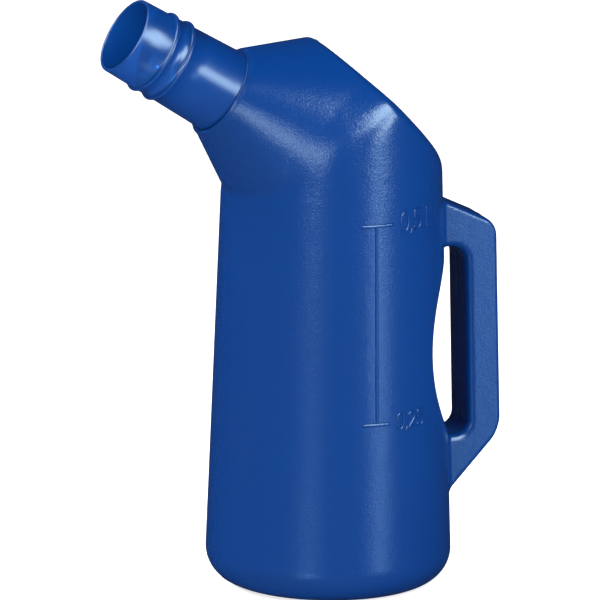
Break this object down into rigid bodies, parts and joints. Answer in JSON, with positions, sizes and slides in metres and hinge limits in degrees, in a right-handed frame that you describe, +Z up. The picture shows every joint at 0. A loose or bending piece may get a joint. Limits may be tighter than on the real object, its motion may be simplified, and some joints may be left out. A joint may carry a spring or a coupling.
{
  "type": "fuel measuring and pouring jug",
  "caption": "Round blow-moulded measuring jug with a hollow side handle, a raised fill scale, a sloped closed shoulder and an angled beaded pouring tube.",
  "frame": {"origin": "centre of the base at the height of the surface it stands on", "axes": "+Z up along the body's axis, +X towards the handle, -X towards the pouring tube, the measuring scale faces -Y"},
  "size_m": [0.135, 0.0796, 0.1967],
  "materials": {
    "jug_body": "satin, as moulded polyethylene with a fine grain",
    "pour_tube": "smooth, semi-gloss polyethylene"
  },
  "bodies": {
    "root": {"jug_body": "jug_body", "pour_tube": "pour_tube"}
  },
  "joints": []
}
